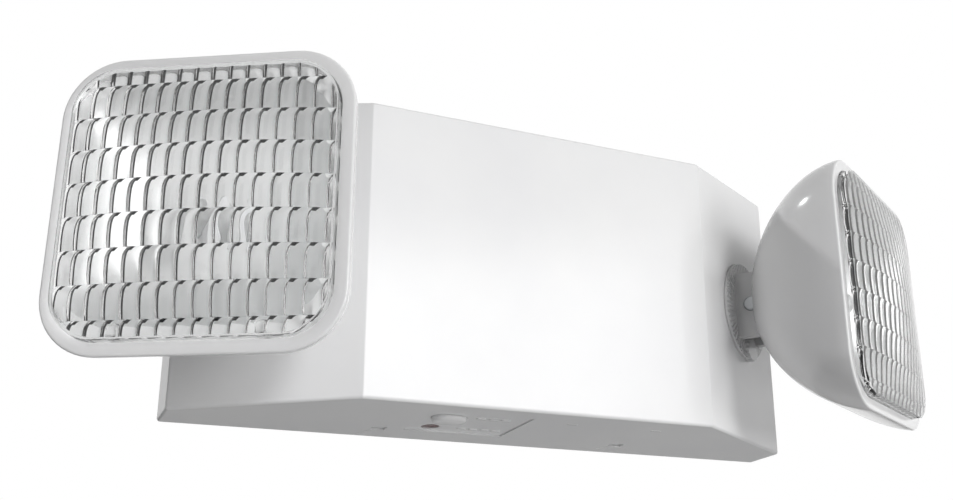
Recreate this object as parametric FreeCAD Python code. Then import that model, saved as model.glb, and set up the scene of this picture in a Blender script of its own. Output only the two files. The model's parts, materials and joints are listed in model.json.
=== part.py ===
"""Two-head emergency light for a wall.

X runs along the wall, +Y goes into the wall and Z is up.  The origin is the middle of the housing's back,
in the wall plane.  All sizes are in millimetres.
"""
import FreeCAD, Part
import math
import os

from FreeCAD import Placement, Rotation, Vector

os.makedirs("parts", exist_ok=True)

# ---- Housing -------------------------------------------------------------------------------------------
HEIGHT = 115.0              # at the wall
WIDTH = 254.0
DEPTH = 52.7
FRONT_WIDTH = 138.3         # flat front between the two slanted faces
END_DEPTH = 17.7            # short end wall beside the wall plane
DRAFT = 0.077               # slope of top and bottom, per unit of depth
WALL = 2.5
EDGE_RADIUS = 1.2
PLATE_THICKNESS = 2.5
PLATE_CLEARANCE = 0.3

# ---- Fastening to the wall -----------------------------------------------------------------------------
SCREW_SPACING = 88.9
SCREW_HOLE_RADIUS = 2.5
WIRE_ENTRY_RADIUS = 11.0

# ---- Snap latches of the back plate --------------------------------------------------------------------
LATCH_X = 50.0
LATCH_Y = -13.3
LATCH_SLOT = (5.6, 4.2)     # along X and Y
LATCH_ARM_THICKNESS = 1.4
LATCH_CLEARANCE = 0.3
LATCH_BITE = 1.8
CATCH_SIZE = (5.0, 0.9)     # upper catches of the plate: how far they stand inwards, and their thickness
PLATE_RIB_Z = 30.0
PLATE_RIB_THICKNESS = 1.6
PLATE_RIB_INSET = 12.0
PLATE_BOSS_WALL = 2.5
SCORE_WIDTH = 0.4           # scored line from each slot to the wall edge
SCORE_DEPTH = 0.25
SCORE_SHIFT = -4.2          # how far the line wanders along X on its way to the wall

# ---- Test panel, button and indicator under the housing ------------------------------------------------
PANEL_X = (-40.6, -1.0)
PANEL_Y = (-43.0, -13.8)
PANEL_RECESS = 0.6
BUTTON_CENTRE = (-30.5, -33.5)
BUTTON_LENGTH = 13.0
BUTTON_BREADTH = 8.6
BUTTON_PROUD = 3.0
BUTTON_FLANGE = 1.3
BUTTON_FLANGE_THICKNESS = 1.2
BUTTON_CLEARANCE = 0.25
BUTTON_TRAVEL = 1.5
BUTTON_EDGE_RADIUS = 0.8
FLANGE_SEAT_GAP = 0.1       # between the wall's inside and the flanges of button and indicator
INDICATOR_CENTRE = (-32.0, -19.0)
INDICATOR_RADIUS = 3.2
INDICATOR_CLEARANCE = 0.15
INDICATOR_FLANGE = 0.7
INDICATOR_SUNK = 0.8        # its face lies this deep in the housing's underside

# ---- Electronics ---------------------------------------------------------------------------------------
BOARD_X = (-45.5, 13.0)
BOARD_BREADTH = 30.5
BOARD_FRONT_GAP = 3.7       # to the inside of the front wall
BOARD_THICKNESS = 1.6
BOARD_RISE = 15.0           # underside above the housing's lowest edge at the wall
BOARD_POST_RADIUS = 3.0
BOARD_POST_INSET = 4.0
BOARD_SCREW_RADIUS = 1.45
BOARD_SCREW_HEAD_RADIUS = 2.8
BOARD_SCREW_HEAD_HEIGHT = 1.8
BOARD_SCREW_LENGTH = 6.0
BOARD_HOLE_CLEARANCE = 0.15
CHIP_SIZE = (12.0, 6.0, 2.5)
CHIP_PLACE = (-32.0, 8.5)   # X, and distance from the board's front edge
RELAY_SIZE = (16.0, 8.0, 9.0)
RELAY_PLACE = (-12.0, 22.5)
CAPACITOR_SIZES = ((4.0, 11.0), (3.2, 9.0))     # radius and height
CAPACITOR_PLACES = ((-20.5, 8.5), (-9.0, 8.5))
SWITCH_SIDE = 6.0
SWITCH_PLUNGER_RADIUS = 1.7
SWITCH_BODY_HEIGHT = 3.4
SWITCH_PLUNGER_PROUD = 0.8
SWITCH_GAP = 0.1            # between the plunger and the fully pressed button
BATTERY_SIZE = (97.0, 24.0, 40.0)
BATTERY_TOP_GAP = 2.1       # under the top wall, at the front
BATTERY_EDGE_RADIUS = 2.0
BATTERY_TAB = (4.8, 0.8, 2.4)
BATTERY_TAB_INSET = 6.5
SHELF_RIB_THICKNESS = 2.0
SHELF_RIB_DEPTH = (14.0, 3.0)   # at the front wall and at its free end
SHELF_RIB_INSET = 8.5
STRAP_BREADTH = 14.0
STRAP_THICKNESS = 1.5
STRAP_X = 30.0
STRAP_FOOT_DROP = 9.0       # from the battery's underside to the block's lower end
STRAP_BLOCK_HEIGHT = 7.0
STRAP_HOOK = 8.0
TRANSFORMER_X = 34.0
CORE_SIZE = (40.0, 18.0, 33.0)
COIL_BREADTH = 29.0
COIL_HEIGHT = 21.0
COIL_CLEARANCE = 0.3
COIL_EDGE_RADIUS = 2.5
CORE_WALL_GAP = 9.85        # behind the inside of the front wall
REST_HEIGHT = 2.0
REST_BREADTH = 4.0

# ---- Swivel on each slanted face -----------------------------------------------------------------------
SWIVEL_SHIFT = 5.5          # outwards along the slanted face, from its middle
SWIVEL_GAP = 0.2            # between the collar and the housing, both sides of the wall
DISC_RADIUS = 20.3
DISC_THICKNESS = 1.0
RIB_COUNT = 60
RIB_HEIGHT = 0.4
RIB_BREADTH = 0.9
RIB_INNER_RADIUS = 14.5
RIB_OUTER_RADIUS = 19.9
NECK_RADIUS = 8.0
NECK_CLEARANCE = 0.05
NECK_BORE_RADIUS = 4.5
NUT_THICKNESS = 4.0
NUT_FLATS = 22.0
CHEEK_OUTER = 10.5          # half width over both cheeks
CHEEK_THICKNESS = 3.4
CHEEK_HALF_HEIGHT = 13.5
LOCK_BOSS_RADIUS = 4.85
LOCK_BOSS_DROP = 16.6
LOCK_BOSS_HEIGHT = 2.8
BOSS_RIB_COUNT = 14
BOSS_RIB_RADIUS = 0.5
PIVOT_OUT = 7.5             # tilt axis in front of the slanted face
PIN_RADIUS = 2.0
PIN_CLEARANCE = 0.05
PIN_HEAD_RADIUS = 3.0
PIN_HEAD_HEIGHT = 1.2
PIN_HEAD_ROUNDING = 0.7     # share of the head's height
LUG_RADIUS = 4.6
LUG_CLEARANCE = 0.3

# ---- Lamp head -----------------------------------------------------------------------------------------
HEAD_HALF = 47.0            # half width at the front rim
HEAD_HALF_HEIGHT = 47.9
HEAD_CORNER = 19.4
HEAD_REACH = 55.8           # front rim in front of the slanted face
HEAD_DROP = 2.8             # middle of the rim below the swivel axis
DOME_TIP = 5.8              # the dome would end this far in front of the slanted face
DOME_BACK = 8.8             # but its back is flat here
DOME_POWER = 1.7
DOME_SECTIONS = 8
DOME_CORNER_GAIN = 0.35     # the corners grow rounder by this share towards the tip
DOME_RISE = 3.4             # the tip sits this much above the rim's middle
HEAD_WALL = 2.0
RIM_BAND = 4.4
SEAT_DEPTH = 2.5            # lens seat behind the rim
SEAT_WIDTH = 2.2
SEAT_THICKNESS = 2.0
SLOT_CLEARANCE = 0.5        # slot for the cheeks
POCKET_WALL = 1.8
POCKET_CLEARANCE = 0.6
CUT_OVERLAP = 0.01
PRY_NOTCH = (14.0, 1.2)

# ---- Lens ----------------------------------------------------------------------------------------------
LENS_CLEARANCE = 0.3
LENS_THICKNESS = 1.9
LENS_WALL_PROUD = 3.0
LENS_CROWN = 7.5
CELL_WIDTH = 5.4            # one column of cells is centred on the lens
CELL_HEIGHT = 10.7          # and so is one row
CELL_RELIEF = 0.9
CROWN_SECTIONS = 6
CROWN_TOP = 0.2             # share of the outline where the crown ends in a flat
LENS_TAB_X = 22.3
LENS_TAB = (3.2, 1.6, 2.2)

# ---- Reflector and lamp --------------------------------------------------------------------------------
REFLECTOR_THICKNESS = 0.8
REFLECTOR_MOUTH = 39.0
REFLECTOR_FLOOR = 13.0
DISH_SECTIONS = 5
DISH_FLOOR_ROUNDNESS = 0.95     # corner radius as a share of the half size
DISH_MOUTH_ROUNDNESS = 0.35
LAMP_HOLE_RADIUS = 8.6
HOLDER_RADIUS = 8.4
HOLDER_FLANGE_RADIUS = 11.0
HOLDER_FLANGE = 1.5
HOLDER_GAP = 1.95           # between the holder and the wall of the head's pocket
HOLDER_LENGTH = 5.5         # from its back to the dish's floor
HOLDER_LIP = 1.5            # inside the dish
LAMP_RADIUS = 4.8
LAMP_CLEARANCE = 0.1
LAMP_LENGTH = 15.0
LAMP_BASE_DEPTH = 3.0

SLANT = math.atan2(DEPTH - END_DEPTH, (WIDTH - FRONT_WIDTH) / 2)
FRONT_INSIDE = WALL - DEPTH
DOME_DEPTH = HEAD_REACH - DOME_TIP
DOME_CUT = HEAD_REACH - DOME_BACK
SIDES = {"left": -1, "right": 1}
X_AXIS = Vector(1, 0, 0)
Y_AXIS = Vector(0, 1, 0)
Z_AXIS = Vector(0, 0, 1)


# ---- Small helpers -------------------------------------------------------------------------------------
def box(x_range, y_range, z_range):
    """A box between two limits on each axis."""
    size = [limits[1] - limits[0] for limits in (x_range, y_range, z_range)]
    return Part.makeBox(*size, Vector(x_range[0], y_range[0], z_range[0]))


def centred(middle, half):
    return (middle - half, middle + half)


def prism(points, along):
    """A straight prism on a closed outline."""
    return Part.Face(Part.makePolygon(points + [points[0]])).extrude(along)


def rounded_outline(half_x, half_y, radius, z, rise=0.0):
    """A rounded rectangle as four lines and four arcs, at height z, its middle at y = rise."""
    edges = []
    corners = [(1, 1), (-1, 1), (-1, -1), (1, -1)]
    joints = []
    for index, (side_x, side_y) in enumerate(corners):
        middle = Vector(side_x * (half_x - radius), side_y * (half_y - radius) + rise, z)
        turn = index * math.pi / 2
        arc = [middle + Vector(math.cos(turn + step), math.sin(turn + step), 0) * radius
               for step in (0, math.pi / 4, math.pi / 2)]
        joints.append(arc)
    for index, arc in enumerate(joints):
        edges.append(Part.Arc(*arc).toShape())
        edges.append(Part.LineSegment(arc[2], joints[(index + 1) % 4][0]).toShape())
    return Part.Wire(edges)


def rounded_block(half_x, half_y, radius, z_low, z_high, rise=0.0):
    """A rounded rectangle carried straight up from z_low to z_high."""
    face = Part.Face(rounded_outline(half_x, half_y, radius, z_low, rise))
    return face.extrude(Vector(0, 0, z_high - z_low))


def stadium(length, breadth, middle, z_low, z_high):
    """A slot shape with round ends, long in X."""
    radius = breadth / 2
    block = rounded_block(length / 2, radius, radius * 0.999, z_low, z_high)
    return block.translated(Vector(middle[0], middle[1], 0))


def upright(radius, middle, z_low, z_high):
    """A vertical round bar."""
    return Part.makeCylinder(radius, z_high - z_low, Vector(middle[0], middle[1], z_low))


def upright_edges(shape):
    return [edge for edge in shape.Edges
            if abs(edge.Vertexes[0].Point.x - edge.Vertexes[-1].Point.x) < 1e-6
            and abs(edge.Vertexes[0].Point.y - edge.Vertexes[-1].Point.y) < 1e-6]


def round_x(radius, half_length, z):
    """A round bar along X, centred over the origin at height z."""
    return Part.makeCylinder(radius, 2 * half_length, Vector(-half_length, 0, z), X_AXIS)


def seat_frame(side):
    """Local frame on a slanted face: x along the face, y up, z straight out of it at the swivel axis."""
    out = Vector(side * math.sin(SLANT), -math.cos(SLANT), 0)
    along = Z_AXIS.cross(out)
    middle_x = side * (FRONT_WIDTH + WIDTH) / 4
    middle_y = -(DEPTH + END_DEPTH) / 2
    base = Vector(middle_x, middle_y, 0) + along * (side * SWIVEL_SHIFT)
    return Placement(base, Rotation(along, Z_AXIS, out, "ZXY"))


def save(name, shape):
    """Write one node, placed and cleaned."""
    solid = shape.removeSplitter()
    if len(solid.Solids) == 1:
        solid = solid.Solids[0]
    if not solid.isValid():
        print("not valid:", name)
    solid.exportStep("parts/" + name + ".step")
    print(name, len(solid.Solids), round(solid.Volume / 1000, 2), "cm3")


# ---- Housing -------------------------------------------------------------------------------------------
def bottom_z(y, inset=0.0):
    """Height of the bottom face, or of its inner side, at a place y."""
    return -HEIGHT / 2 - DRAFT * y + inset * math.hypot(1, DRAFT)


def housing_form(inset, back=0.0):
    """The housing's outer form with every wall moved in by inset, its open back at y = back."""
    normal_x = math.sin(SLANT)
    normal_y = -math.cos(SLANT)
    level = normal_x * FRONT_WIDTH / 2 - normal_y * DEPTH - inset
    front_y = inset - DEPTH
    end_x = WIDTH / 2 - inset
    front_x = (level - normal_y * front_y) / normal_x
    end_y = (level - normal_x * end_x) / normal_y
    half = [(end_x, back), (end_x, end_y), (front_x, front_y)]
    outline = half + [(-x, y) for x, y in reversed(half)]
    plan = prism([Vector(x, y, -HEIGHT) for x, y in outline], Z_AXIS * 2 * HEIGHT)
    low_back = bottom_z(back, inset)
    low_front = bottom_z(front_y, inset)
    side = [(back, low_back), (front_y, low_front), (front_y, -low_front), (back, -low_back)]
    profile = prism([Vector(-WIDTH, y, z) for y, z in side], X_AXIS * 2 * WIDTH)
    return plan.common(profile)


def bottom_slab(x_range, y_range, depth):
    """What a recess of even depth takes out of the sloping bottom."""
    y_low, y_high = y_range
    outline = [(y_low, -HEIGHT), (y_high, -HEIGHT), (y_high, bottom_z(y_high, depth)),
               (y_low, bottom_z(y_low, depth))]
    return prism([Vector(x_range[0], y, z) for y, z in outline], X_AXIS * (x_range[1] - x_range[0]))


def board_low():
    """Height of the circuit board's underside."""
    return BOARD_RISE - HEIGHT / 2


def board_top():
    return board_low() + BOARD_THICKNESS


def board_front():
    """Front edge of the circuit board."""
    return FRONT_INSIDE + BOARD_FRONT_GAP


def board_posts():
    """Places of the four posts that carry the circuit board."""
    xs = (BOARD_X[0] + BOARD_POST_INSET, BOARD_X[1] - BOARD_POST_INSET)
    ys = (board_front() + BOARD_POST_INSET, board_front() + BOARD_BREADTH - BOARD_POST_INSET)
    return [(x, y) for x in xs for y in ys]


def battery_low():
    """Height of the battery's underside: the battery hangs close under the top wall."""
    return -bottom_z(FRONT_INSIDE, WALL) - BATTERY_TOP_GAP - BATTERY_SIZE[2]


def battery_back():
    return FRONT_INSIDE + BATTERY_SIZE[1]


def battery_shelf():
    """Three ribs on the front wall that the battery stands on."""
    low = battery_low()
    root, tip = SHELF_RIB_DEPTH
    outline = [(FRONT_INSIDE - WALL / 2, low), (battery_back(), low), (battery_back(), low - tip),
               (FRONT_INSIDE - WALL / 2, low - root)]
    reach = BATTERY_SIZE[0] / 2 - SHELF_RIB_INSET
    return [prism([Vector(x - SHELF_RIB_THICKNESS / 2, y, z) for y, z in outline],
                  X_AXIS * SHELF_RIB_THICKNESS) for x in (-reach, 0, reach)]


def strap_blocks():
    """Blocks on the front wall, under the battery, that the straps' feet lie against."""
    foot = battery_low() - STRAP_FOOT_DROP
    return [box(centred(x, STRAP_BREADTH / 2), (FRONT_INSIDE - WALL / 2, battery_back()),
                (foot, foot + STRAP_BLOCK_HEIGHT)) for x in (-STRAP_X, STRAP_X)]


def score_line(x):
    """Fine scored line in the underside, from inside a latch slot to past the wall edge."""
    start = Vector(x - LATCH_SLOT[0] / 4, LATCH_Y + LATCH_SLOT[1] / 4, 0)
    end = Vector(start.x + SCORE_SHIFT, SCORE_DEPTH, 0)
    across = Z_AXIS.cross(end - start).normalize() * SCORE_WIDTH / 2
    corners = [start - across, start + across, end + across, end - across]
    return prism([corner + Vector(0, 0, bottom_z(corner.y, SCORE_DEPTH)) for corner in corners],
                 Z_AXIS * -2 * WALL)


def underside_cuts():
    """Recessed panel, button slot, indicator hole, latch slots and scored lines."""
    cuts = [bottom_slab(PANEL_X, PANEL_Y, PANEL_RECESS)]
    cuts.append(stadium(BUTTON_LENGTH + 2 * BUTTON_CLEARANCE, BUTTON_BREADTH + 2 * BUTTON_CLEARANCE,
                        BUTTON_CENTRE, -HEIGHT, button_flange_low()))
    cuts.append(upright(INDICATOR_RADIUS + INDICATOR_CLEARANCE, INDICATOR_CENTRE, -HEIGHT,
                        bottom_z(INDICATOR_CENTRE[1], 1.5 * WALL)))
    for x in (-LATCH_X, LATCH_X):
        cuts.append(box(centred(x, LATCH_SLOT[0] / 2), centred(LATCH_Y, LATCH_SLOT[1] / 2),
                        (-HEIGHT, bottom_z(LATCH_Y, 1.5 * WALL))))
        cuts.append(score_line(x))
    return cuts


def make_housing():
    """Drafted shell, open at the wall, with every outer edge rounded apart from those at the wall."""
    outer = housing_form(0.0)
    edges = [edge for edge in outer.Edges if min(v.Point.y for v in edge.Vertexes) < -END_DEPTH / 2]
    outer = outer.makeFillet(EDGE_RADIUS, edges)
    shell = outer.cut(housing_form(WALL, back=WALL))
    posts = [upright(BOARD_POST_RADIUS, place, bottom_z(place[1], WALL / 2), board_low())
             for place in board_posts()]
    shell = shell.multiFuse(posts + battery_shelf() + strap_blocks() + transformer_rests())
    cuts = underside_cuts()
    for place in board_posts():
        cuts.append(upright(BOARD_SCREW_RADIUS, place, board_low() - BOARD_SCREW_LENGTH, board_top()))
    for side in SIDES.values():
        hole = Part.makeCylinder(NECK_RADIUS + NECK_CLEARANCE, 4 * WALL, Vector(0, 0, -3 * WALL))
        hole.Placement = seat_frame(side)
        cuts.append(hole)
    return shell.cut(cuts)


def plate_half():
    """Half sizes of the back plate, which sits inside the drafted opening."""
    half_z = -bottom_z(-PLATE_THICKNESS, WALL) - PLATE_CLEARANCE
    return WIDTH / 2 - WALL - PLATE_CLEARANCE, half_z


def latch_arm(x):
    """A springy arm along the bottom wall whose hook stands in the housing's slot."""
    tip_y = LATCH_Y - LATCH_SLOT[1] / 2 + LATCH_CLEARANCE
    top = LATCH_ARM_THICKNESS + PLATE_CLEARANCE
    half = LATCH_SLOT[0] / 2 - LATCH_CLEARANCE
    outline = [(-PLATE_THICKNESS / 2, bottom_z(0, WALL + PLATE_CLEARANCE)),
               (tip_y, bottom_z(tip_y, WALL + PLATE_CLEARANCE)),
               (tip_y, bottom_z(tip_y, WALL + top)),
               (-PLATE_THICKNESS / 2, bottom_z(0, WALL + top))]
    arm = prism([Vector(x - half, y, z) for y, z in outline], X_AXIS * 2 * half)
    base_y = LATCH_Y + LATCH_SLOT[1] / 2 - LATCH_CLEARANCE
    hook = [(base_y, bottom_z(base_y, WALL + top)), (tip_y, bottom_z(tip_y, WALL + top)),
            (tip_y, bottom_z(tip_y, WALL)), (base_y, bottom_z(base_y, WALL - LATCH_BITE))]
    return arm.fuse(prism([Vector(x - half, y, z) for y, z in hook], X_AXIS * 2 * half))


def make_back_plate():
    """Flat plate with springy latches below, fixed catches above, ribs, screw holes and a wire entry."""
    half_x, half_z = plate_half()
    plate = box((-half_x, half_x), (-PLATE_THICKNESS, 0), (-half_z, half_z))
    root = -PLATE_THICKNESS / 2
    extras = [latch_arm(x) for x in (-LATCH_X, LATCH_X)]
    catch_top = half_z - PLATE_CLEARANCE
    extras += [box(centred(x, LATCH_SLOT[0] / 2), (-PLATE_THICKNESS - CATCH_SIZE[0], root),
                   (catch_top - CATCH_SIZE[1], catch_top)) for x in (-LATCH_X, LATCH_X)]
    extras += [box(centred(0, half_x - PLATE_RIB_INSET), (-2 * PLATE_THICKNESS, root),
                   centred(z, PLATE_RIB_THICKNESS / 2)) for z in (-PLATE_RIB_Z, PLATE_RIB_Z)]
    screw_places = [Vector(x, 0, 0) for x in (-SCREW_SPACING / 2, SCREW_SPACING / 2)]
    rounds = [(Vector(0, 0, 0), WIRE_ENTRY_RADIUS)] + [(place, SCREW_HOLE_RADIUS) for place in screw_places]
    holes = []
    for place, radius in rounds:
        extras.append(Part.makeCylinder(radius + PLATE_BOSS_WALL, 2 * PLATE_THICKNESS, place, -Y_AXIS))
        holes.append(Part.makeCylinder(radius, 2 * PLATE_THICKNESS, place, -Y_AXIS))
    return plate.multiFuse(extras).cut(holes)


# ---- Test button, indicator and electronics ------------------------------------------------------------
def button_flange_low():
    """Top of the wall over the button's hole: the flange inside rests just above it."""
    return bottom_z(BUTTON_CENTRE[1] - BUTTON_BREADTH / 2 - BUTTON_FLANGE, WALL) + FLANGE_SEAT_GAP


def make_test_button():
    low = bottom_z(BUTTON_CENTRE[1]) - BUTTON_PROUD
    flange = button_flange_low() + BUTTON_CLEARANCE
    cap = stadium(BUTTON_LENGTH, BUTTON_BREADTH, BUTTON_CENTRE, low, flange + BUTTON_FLANGE_THICKNESS)
    lower = [edge for edge in cap.Edges if all(abs(v.Point.z - low) < 0.01 for v in edge.Vertexes)]
    cap = cap.makeFillet(BUTTON_EDGE_RADIUS, lower)
    lip = stadium(BUTTON_LENGTH + 2 * BUTTON_FLANGE, BUTTON_BREADTH + 2 * BUTTON_FLANGE, BUTTON_CENTRE,
                  flange, flange + BUTTON_FLANGE_THICKNESS)
    stem_top = switch_low() - BUTTON_TRAVEL - SWITCH_GAP
    stem = upright(SWITCH_PLUNGER_RADIUS, BUTTON_CENTRE, flange, stem_top)
    return cap.multiFuse([lip, stem])


def switch_low():
    """Lower end of the test switch's plunger."""
    return board_low() - SWITCH_BODY_HEIGHT - SWITCH_PLUNGER_PROUD


def make_test_switch():
    body = box(centred(BUTTON_CENTRE[0], SWITCH_SIDE / 2), centred(BUTTON_CENTRE[1], SWITCH_SIDE / 2),
               (board_low() - SWITCH_BODY_HEIGHT, board_low()))
    plunger = upright(SWITCH_PLUNGER_RADIUS, BUTTON_CENTRE, switch_low(), board_low())
    return body.fuse(plunger)


def make_indicator():
    """Light pipe and lamp as one moulding: a rod with a flange that ends on the board."""
    y = INDICATOR_CENTRE[1]
    low = bottom_z(y) + INDICATOR_SUNK
    flange = bottom_z(y - INDICATOR_RADIUS - INDICATOR_FLANGE, WALL) + FLANGE_SEAT_GAP
    rod = upright(INDICATOR_RADIUS, INDICATOR_CENTRE, low, board_low())
    lip = upright(INDICATOR_RADIUS + INDICATOR_FLANGE, INDICATOR_CENTRE, flange,
                  flange + BUTTON_FLANGE_THICKNESS)
    return rod.fuse(lip)


def board_place(place):
    """A place on the board from its X and its distance behind the board's front edge."""
    return place[0], board_front() + place[1]


def make_circuit_board():
    """Board with a driver chip, a relay and two capacitors on top."""
    top = board_top()
    parts = []
    for size, place in ((CHIP_SIZE, CHIP_PLACE), (RELAY_SIZE, RELAY_PLACE)):
        x, y = board_place(place)
        parts.append(box(centred(x, size[0] / 2), centred(y, size[1] / 2), (top, top + size[2])))
    for (radius, height), place in zip(CAPACITOR_SIZES, CAPACITOR_PLACES):
        parts.append(upright(radius, board_place(place), top, top + height))
    board = box(BOARD_X, (board_front(), board_front() + BOARD_BREADTH), (board_low(), top))
    holes = [upright(BOARD_SCREW_RADIUS + BOARD_HOLE_CLEARANCE, place, board_low(), top)
             for place in board_posts()]
    return board.multiFuse(parts).cut(holes)


def make_board_screws():
    top = board_top()
    tip = board_low() - BOARD_SCREW_LENGTH + BOARD_HOLE_CLEARANCE
    screws = []
    for place in board_posts():
        head = upright(BOARD_SCREW_HEAD_RADIUS, place, top, top + BOARD_SCREW_HEAD_HEIGHT)
        screws.append(upright(BOARD_SCREW_RADIUS, place, tip, top).fuse(head))
    return Part.makeCompound(screws)


def make_battery():
    """Sealed pack with two flat terminal tabs on top."""
    low = battery_low()
    top = low + BATTERY_SIZE[2]
    half_x = BATTERY_SIZE[0] / 2
    pack = box((-half_x, half_x), (FRONT_INSIDE, battery_back()), (low, top))
    pack = pack.makeFillet(BATTERY_EDGE_RADIUS, upright_edges(pack))
    length, thickness, height = BATTERY_TAB
    middle_y = FRONT_INSIDE + BATTERY_SIZE[1] / 2
    tabs = [box(centred(side * (half_x - BATTERY_TAB_INSET), length / 2), centred(middle_y, thickness / 2),
                (top - height, top + height)) for side in SIDES.values()]
    return pack.multiFuse(tabs)


def make_strap(x):
    """Bent strip round the battery's back, its foot against the block under the battery."""
    back = battery_back()
    low = battery_low()
    top = low + BATTERY_SIZE[2]
    strip = box(centred(x, STRAP_BREADTH / 2), (back, back + STRAP_THICKNESS),
                (low - STRAP_FOOT_DROP, top + STRAP_THICKNESS))
    over = box(centred(x, STRAP_BREADTH / 2), (back - STRAP_HOOK, back), (top, top + STRAP_THICKNESS))
    return strip.fuse(over)


def core_place():
    """X range, Y range and Z range of the transformer's core, which stands on two rests."""
    y_low = FRONT_INSIDE + CORE_WALL_GAP
    z_low = bottom_z(-DEPTH, WALL) + REST_HEIGHT
    return (centred(TRANSFORMER_X, CORE_SIZE[0] / 2), (y_low, y_low + CORE_SIZE[1]),
            (z_low, z_low + CORE_SIZE[2]))


def transformer_rests():
    x_range, y_range, z_range = core_place()
    z_low = bottom_z(y_range[1], WALL / 2)
    return [box((x, x + REST_BREADTH), y_range, (z_low, z_range[0]))
            for x in (x_range[0], x_range[1] - REST_BREADTH)]


def make_transformer_core():
    """Laminated frame with two windows for the winding; its middle leg is twice as wide as its sides."""
    x_range, y_range, z_range = core_place()
    leg = CORE_SIZE[0] / 6
    window_z = centred(sum(z_range) / 2, COIL_HEIGHT / 2)
    windows = [box(centred(TRANSFORMER_X + side * 1.5 * leg, leg / 2), y_range, window_z)
               for side in SIDES.values()]
    return box(x_range, y_range, z_range).cut(windows)


def make_transformer_coil():
    """Winding round the core's middle leg."""
    y_range, z_range = core_place()[1:]
    y_middle = sum(y_range) / 2
    leg = CORE_SIZE[0] / 6
    height_range = centred(sum(z_range) / 2, COIL_HEIGHT / 2 - COIL_CLEARANCE)
    coil = box(centred(TRANSFORMER_X, 2 * leg - COIL_CLEARANCE), centred(y_middle, COIL_BREADTH / 2),
               height_range)
    coil = coil.makeFillet(COIL_EDGE_RADIUS, upright_edges(coil))
    leg_space = box(centred(TRANSFORMER_X, leg + COIL_CLEARANCE),
                    centred(y_middle, CORE_SIZE[1] / 2 + COIL_CLEARANCE), height_range)
    return coil.cut(leg_space)


# ---- Swivel --------------------------------------------------------------------------------------------
def disc_face():
    return SWIVEL_GAP + DISC_THICKNESS


def neck_low():
    """Inner end of the collar's neck, flush with the nut."""
    return -(WALL + SWIVEL_GAP + NUT_THICKNESS)


def ring_of_ribs():
    """Radial serrations on the disc's face."""
    ribs = []
    for index in range(RIB_COUNT):
        rib = box((RIB_INNER_RADIUS, RIB_OUTER_RADIUS), centred(0, RIB_BREADTH / 2),
                  (disc_face() - RIB_HEIGHT, disc_face() + RIB_HEIGHT))
        rib.rotate(Vector(0, 0, 0), Z_AXIS, (index + 0.5) * 360.0 / RIB_COUNT)
        ribs.append(rib)
    return ribs


def lock_boss():
    """Ribbed round boss on the disc, under the cheeks."""
    middle = (0, -LOCK_BOSS_DROP)
    core_radius = LOCK_BOSS_RADIUS - BOSS_RIB_RADIUS
    parts = [upright(core_radius, middle, SWIVEL_GAP, SWIVEL_GAP + LOCK_BOSS_HEIGHT)]
    for index in range(BOSS_RIB_COUNT):
        turn = 2 * math.pi * index / BOSS_RIB_COUNT
        place = (core_radius * math.cos(turn), middle[1] + core_radius * math.sin(turn))
        parts.append(upright(BOSS_RIB_RADIUS, place, SWIVEL_GAP, SWIVEL_GAP + LOCK_BOSS_HEIGHT))
    return parts


def cheeks():
    """Two upright cheeks with round tops about the tilt axis."""
    plates = []
    for x_low in (-CHEEK_OUTER, CHEEK_OUTER - CHEEK_THICKNESS):
        x_range = (x_low, x_low + CHEEK_THICKNESS)
        top = Part.makeCylinder(CHEEK_HALF_HEIGHT, CHEEK_THICKNESS, Vector(x_low, 0, PIVOT_OUT), X_AXIS)
        upper = box(x_range, centred(0, CHEEK_HALF_HEIGHT), (PIVOT_OUT, PIVOT_OUT + CHEEK_HALF_HEIGHT))
        plates.append(top.common(upper))
        plates.append(box(x_range, centred(0, CHEEK_HALF_HEIGHT), (SWIVEL_GAP, PIVOT_OUT)))
    return plates


def make_collar():
    """Serrated disc with a hollow neck through the wall and two cheeks for the tilt pin."""
    disc = Part.makeCylinder(DISC_RADIUS, DISC_THICKNESS, Vector(0, 0, SWIVEL_GAP))
    neck = upright(NECK_RADIUS, (0, 0), neck_low(), disc_face())
    collar = disc.multiFuse([neck] + ring_of_ribs() + cheeks() + lock_boss())
    bore = upright(NECK_BORE_RADIUS, (0, 0), neck_low(), disc_face() + RIB_HEIGHT)
    return collar.cut([bore, round_x(PIN_RADIUS, CHEEK_OUTER, PIVOT_OUT)])


def make_swivel_nut():
    """Hexagon nut on the neck, inside the housing."""
    reach = NUT_FLATS / math.sqrt(3)
    corners = [Vector(reach * math.cos(turn), reach * math.sin(turn), neck_low())
               for turn in (index * math.pi / 3 for index in range(6))]
    nut = prism(corners, Z_AXIS * NUT_THICKNESS)
    return nut.cut(upright(NECK_RADIUS + NECK_CLEARANCE, (0, 0), neck_low(), 0))


def make_tilt_pin():
    """Rivet through both cheeks, with a low domed head at each end."""
    heads = []
    for side in SIDES.values():
        head = Part.makeCylinder(PIN_HEAD_RADIUS, PIN_HEAD_HEIGHT, Vector(side * CHEEK_OUTER, 0, PIVOT_OUT),
                                 X_AXIS * side)
        rim = [edge for edge in head.Edges
               if edge.isClosed() and abs(edge.Vertexes[0].Point.x) > CHEEK_OUTER + PIN_HEAD_HEIGHT / 2]
        heads.append(head.makeFillet(PIN_HEAD_HEIGHT * PIN_HEAD_ROUNDING, rim))
    return round_x(PIN_RADIUS, CHEEK_OUTER, PIVOT_OUT).multiFuse(heads)


# ---- Lamp head -----------------------------------------------------------------------------------------
def dome_share(depth):
    """Share of the rim's size that the dome still has at a depth behind the rim."""
    return (1 - (depth / DOME_DEPTH) ** DOME_POWER) ** (1 / DOME_POWER)


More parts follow.
